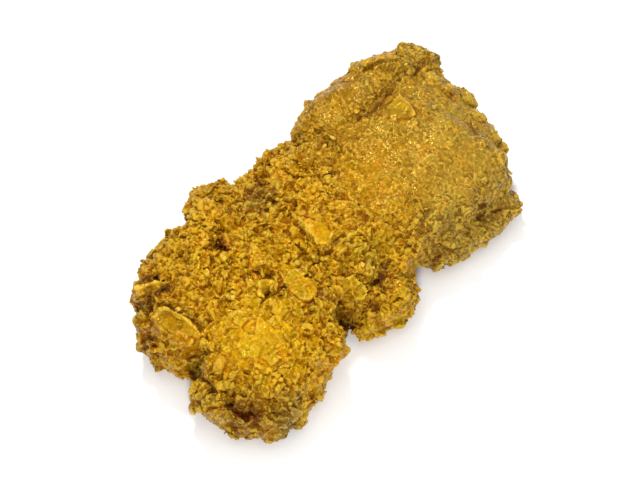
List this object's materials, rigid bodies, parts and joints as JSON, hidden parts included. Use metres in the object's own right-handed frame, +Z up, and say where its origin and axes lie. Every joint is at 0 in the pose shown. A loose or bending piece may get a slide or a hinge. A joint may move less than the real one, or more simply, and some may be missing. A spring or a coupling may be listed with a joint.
{
  "type": "curry karaage",
  "caption": "Whole boneless fried chicken thigh in a craggy curry-yellow crust, folded into a roll along one edge and lying on its flattened underside.",
  "frame": {"origin": "on the table, under the middle of the piece's overall box", "axes": "+X along the piece from its rugged end to its smoother end, +Y across towards the edge folded into a roll, +Z up from the flattened underside"},
  "size_m": [0.134, 0.076, 0.027],
  "materials": {
    "crust": "rough fried batter with a thin coat of oil"
  },
  "bodies": {
    "root": {"karaage": "crust"}
  },
  "joints": []
}
